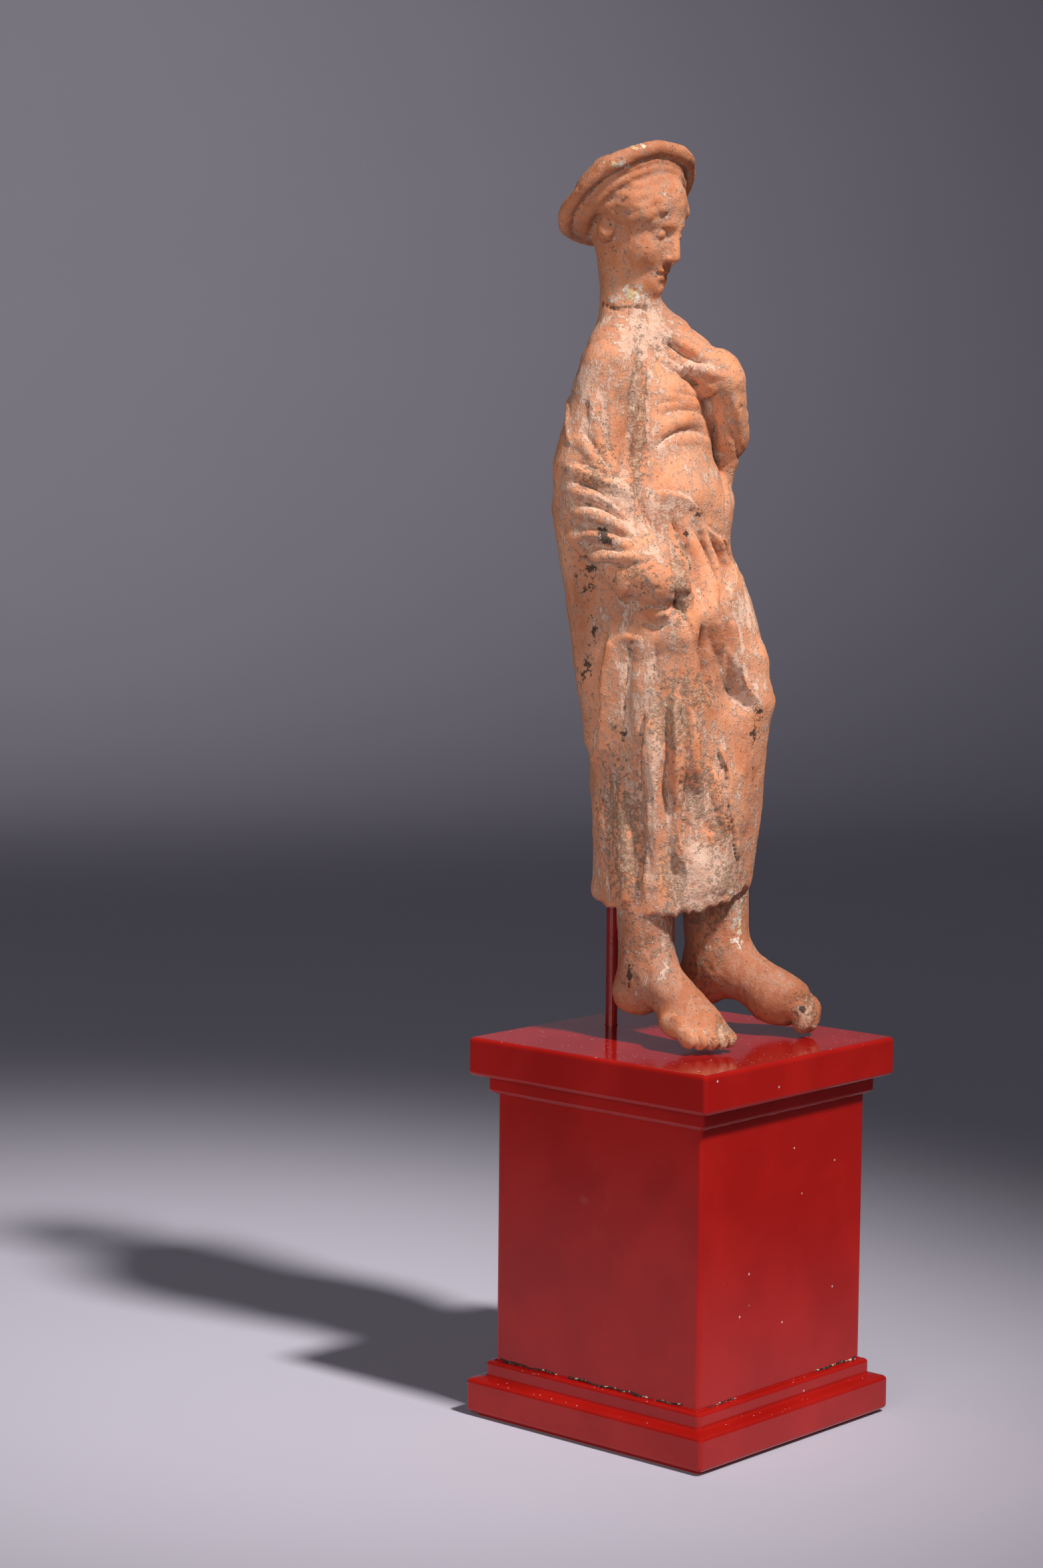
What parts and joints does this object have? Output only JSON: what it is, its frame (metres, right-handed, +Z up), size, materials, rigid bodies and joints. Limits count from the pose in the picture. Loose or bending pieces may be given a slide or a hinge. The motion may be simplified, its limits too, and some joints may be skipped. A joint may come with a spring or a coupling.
{
  "type": "terracotta figurine on plinth",
  "caption": "Small terracotta statuette of a draped standing youth in a flat round hat, held by a thin rod on a square red lacquered plinth with moulded cap and base.",
  "frame": {"origin": "middle of the plinth's underside", "axes": "+Z up; the figure and the plinth's front face look towards -Y; the figure's left is +X"},
  "size_m": [0.076, 0.076, 0.3178],
  "materials": {
    "red_lacquer": "satin red lacquer with fine cracks at the joints and a little dust",
    "red_enamel": "satin red paint",
    "terracotta": "matt fired clay with pale slip in the hollows, brown crust and small black spots"
  },
  "bodies": {
    "root": {"plinth_base": "red_lacquer", "plinth_die": "red_lacquer", "plinth_cap": "red_lacquer", "mount_rod": "red_enamel", "figurine": "terracotta"}
  },
  "joints": []
}
